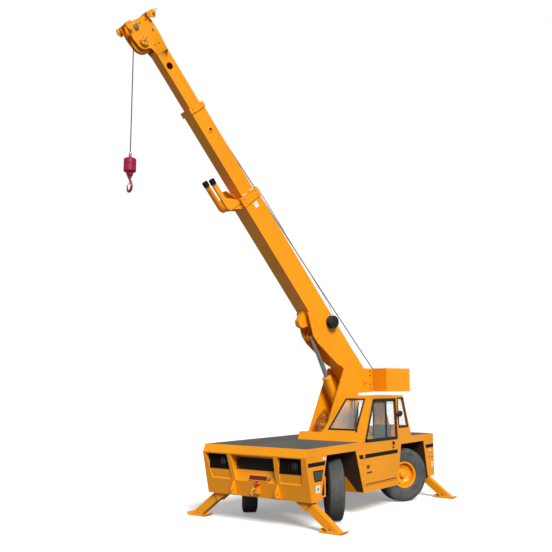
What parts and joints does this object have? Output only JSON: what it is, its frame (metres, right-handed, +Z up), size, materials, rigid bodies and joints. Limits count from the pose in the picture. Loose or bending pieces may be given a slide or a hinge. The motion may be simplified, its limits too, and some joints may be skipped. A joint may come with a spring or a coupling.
{
  "type": "carry deck mobile crane",
  "caption": "Compact pick-and-carry mobile crane: flat load deck, enclosed side cab, slewing mast, telescopic boom with hoist hook, all-wheel steering and sliding outrigger legs.",
  "frame": {"origin": "on the ground under the middle of the crane's overall footprint at rest", "axes": "+X forward, towards the load deck's nose; +Y to the crane's left, the cab's side; +Z up"},
  "size_m": [6.4194, 2.9542, 8.0071],
  "materials": {
    "paint": "semi-gloss orange-yellow machinery paint",
    "deck_black": "rough anti-slip coating",
    "dark_steel": "dark painted steel",
    "bare_steel": "polished rod",
    "glass": "clear, faint teal",
    "trim": "matt black",
    "hook_red": "crimson paint",
    "tyre": "matt rubber"
  },
  "bodies": {
    "chassis": {"chassis_frame": "dark_steel", "engine_block": "dark_steel", "deck_frame": "paint", "deck_plate": "deck_black", "front_body": "paint", "tow_hook": "dark_steel", "rear_body": "paint", "cab_base": "paint", "right_tank": "paint", "front_cowl": "paint", "cab_shell": "paint", "windshield": "glass", "rear_window": "glass", "quarter_window": "glass", "inner_window": "glass", "driver_seat": "trim", "dash_console": "trim", "steering_wheel": "trim", "front_axle": "dark_steel", "rear_axle": "dark_steel", "front_outrigger_housing": "dark_steel", "rear_outrigger_housing": "dark_steel", "slew_ring": "dark_steel"},
    "knuckle_front_left": {"knuckle_front_left": "dark_steel"},
    "wheel_front_left": {"rim_front_left": "paint", "tyre_front_left": "tyre"},
    "knuckle_front_right": {"knuckle_front_right": "dark_steel"},
    "wheel_front_right": {"rim_front_right": "paint", "tyre_front_right": "tyre"},
    "knuckle_rear_left": {"knuckle_rear_left": "dark_steel"},
    "wheel_rear_left": {"rim_rear_left": "paint", "tyre_rear_left": "tyre"},
    "knuckle_rear_right": {"knuckle_rear_right": "dark_steel"},
    "wheel_rear_right": {"rim_rear_right": "paint", "tyre_rear_right": "tyre"},
    "door": {"cab_door": "paint", "door_window": "glass"},
    "outrigger_front_left": {"outrigger_front_left": "paint"},
    "outrigger_front_right": {"outrigger_front_right": "paint"},
    "outrigger_rear_left": {"outrigger_rear_left": "paint"},
    "outrigger_rear_right": {"outrigger_rear_right": "paint"},
    "turret": {"mast": "paint", "winch_housing": "paint", "winch_drum": "dark_steel"},
    "boom_base": {"boom_base": "paint", "hose_reel": "trim"},
    "boom_mid": {"boom_mid": "paint"},
    "boom_tip": {"boom_tip": "paint", "main_sheave": "paint", "head_idler": "dark_steel"},
    "lift_barrel": {"lift_barrel": "paint"},
    "lift_rod": {"lift_rod": "bare_steel"},
    "hoist": {"hoist_rope": "dark_steel", "hook_block": "hook_red"},
    "hook": {"hook": "hook_red"}
  },
  "joints": [
    {"name": "steer_front_left", "type": "hinge", "parent": "chassis", "child": "knuckle_front_left", "pos_m": [0.29228, 0.66, 0.48], "axis": [0, 0, 1], "range_deg": [-76, 0]},
    {"name": "wheel_spin_front_left", "type": "hinge", "parent": "knuckle_front_left", "child": "wheel_front_left", "pos_m": [0.20608, 0.77032, 0.48], "axis": [-0.6157, 0.788, 0], "continuous": true},
    {"name": "steer_front_right", "type": "hinge", "parent": "chassis", "child": "knuckle_front_right", "pos_m": [0.29228, -0.66, 0.48], "axis": [0, 0, 1], "range_deg": [-76, 0]},
    {"name": "wheel_spin_front_right", "type": "hinge", "parent": "knuckle_front_right", "child": "wheel_front_right", "pos_m": [0.37847, -0.77032, 0.48], "axis": [-0.6157, 0.788, 0], "continuous": true},
    {"name": "steer_rear_left", "type": "hinge", "parent": "chassis", "child": "knuckle_rear_left", "pos_m": [-2.25772, 0.66, 0.48], "axis": [0, 0, 1], "range_deg": [-7, 69]},
    {"name": "wheel_spin_rear_left", "type": "hinge", "parent": "knuckle_rear_left", "child": "wheel_rear_left", "pos_m": [-2.18562, 0.78, 0.48], "axis": [0.515, 0.8572, 0], "continuous": true},
    {"name": "steer_rear_right", "type": "hinge", "parent": "chassis", "child": "knuckle_rear_right", "pos_m": [-2.25772, -0.66, 0.48], "axis": [0, 0, 1], "range_deg": [-7, 69]},
    {"name": "wheel_spin_rear_right", "type": "hinge", "parent": "knuckle_rear_right", "child": "wheel_rear_right", "pos_m": [-2.32983, -0.78, 0.48], "axis": [0.515, 0.8572, 0], "continuous": true},
    {"name": "door_swing", "type": "hinge", "parent": "chassis", "child": "door", "pos_m": [-0.38272, 0.997, 0], "axis": [0, 0, 1], "range_deg": [-90, 0]},
    {"name": "outrigger_slide_front_left", "type": "slide", "parent": "chassis", "child": "outrigger_front_left", "axis": [0, 0.7944, -0.6074], "range_m": [-0.36, 0]},
    {"name": "outrigger_slide_front_right", "type": "slide", "parent": "chassis", "child": "outrigger_front_right", "axis": [0, -0.7944, -0.6074], "range_m": [-0.36, 0]},
    {"name": "outrigger_slide_rear_left", "type": "slide", "parent": "chassis", "child": "outrigger_rear_left", "axis": [0, 0.7944, -0.6074], "range_m": [-0.36, 0]},
    {"name": "outrigger_slide_rear_right", "type": "slide", "parent": "chassis", "child": "outrigger_rear_right", "axis": [0, -0.7944, -0.6074], "range_m": [-0.36, 0]},
    {"name": "slew", "type": "hinge", "parent": "chassis", "child": "turret", "pos_m": [-1.05772, 0, 0], "axis": [0, 0, -1], "continuous": true},
    {"name": "boom_luff", "type": "hinge", "parent": "turret", "child": "boom_base", "pos_m": [-1.64986, 0.16979, 2.197], "axis": [-0.2756, -0.9613, 0], "range_deg": [-50.24, 20]},
    {"name": "boom_mid_extend", "type": "slide", "parent": "boom_base", "child": "boom_mid", "axis": [0.6148, -0.1763, 0.7687], "range_m": [-1.56, 1.1]},
    {"name": "boom_tip_extend", "type": "slide", "parent": "boom_mid", "child": "boom_tip", "axis": [0.6148, -0.1763, 0.7687], "range_m": [-0.96, 1.6]},
    {"name": "lift_tilt", "type": "hinge", "parent": "turret", "child": "lift_barrel", "pos_m": [-1.3461, 0.08269, 1.36], "axis": [-0.2756, -0.9613, 0], "range_deg": [-36, 15]},
    {"name": "lift_rod_slide", "type": "slide", "parent": "lift_barrel", "child": "lift_rod", "axis": [0.4229, -0.1213, 0.898], "range_m": [-0.7, 0.3]},
    {"name": "hoist_plumb", "type": "hinge", "parent": "boom_tip", "child": "hoist", "pos_m": [2.82108, -1.11223, 7.45277], "axis": [-0.2756, -0.9613, 0], "range_deg": [-20.5, 50.5]},
    {"name": "hook_swivel", "type": "hinge", "parent": "hoist", "child": "hook", "pos_m": [2.9396, -1.14621, 5.1], "axis": [0, 0, 1], "continuous": true}
  ],
  "couplings": [
    {"joint": "steer_front_right", "follows": "steer_front_left", "ratio": 1},
    {"joint": "steer_rear_right", "follows": "steer_rear_left", "ratio": 1},
    {"joint": "lift_tilt", "follows": "boom_luff", "ratio": 0.68},
    {"joint": "lift_rod_slide", "follows": "boom_luff", "m_per_rad": 0.7563},
    {"joint": "hoist_plumb", "follows": "boom_luff", "ratio": -1}
  ]
}
